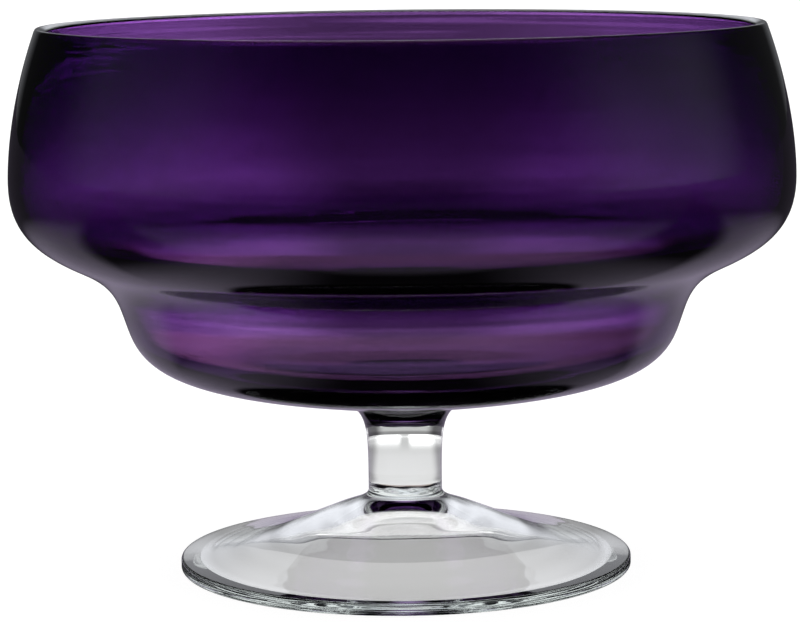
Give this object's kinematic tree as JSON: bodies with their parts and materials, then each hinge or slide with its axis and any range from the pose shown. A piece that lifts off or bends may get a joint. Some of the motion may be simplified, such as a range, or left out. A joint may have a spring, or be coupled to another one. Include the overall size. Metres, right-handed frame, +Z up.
{
  "type": "glass centerpiece bowl",
  "caption": "Footed glass centerpiece bowl: a clear bowl lined with amethyst, its full belly stepping in to a basin, on a short solid clear stem and a domed clear foot.",
  "frame": {"origin": "on the table under the bowl's axis, at the centre of the foot's resting ring", "axes": "+Z up along the axis of revolution, through foot, stem and bowl; X and Y are alike, because every piece is turned about Z"},
  "size_m": [0.25, 0.25, 0.175],
  "materials": {
    "amethyst_glass": "polished, transparent, a thin layer coloured in the mass",
    "clear_glass": "polished, transparent, colourless"
  },
  "bodies": {
    "root": {"bowl": "clear_glass", "lining": "amethyst_glass", "stem": "clear_glass", "foot": "clear_glass"}
  },
  "joints": []
}
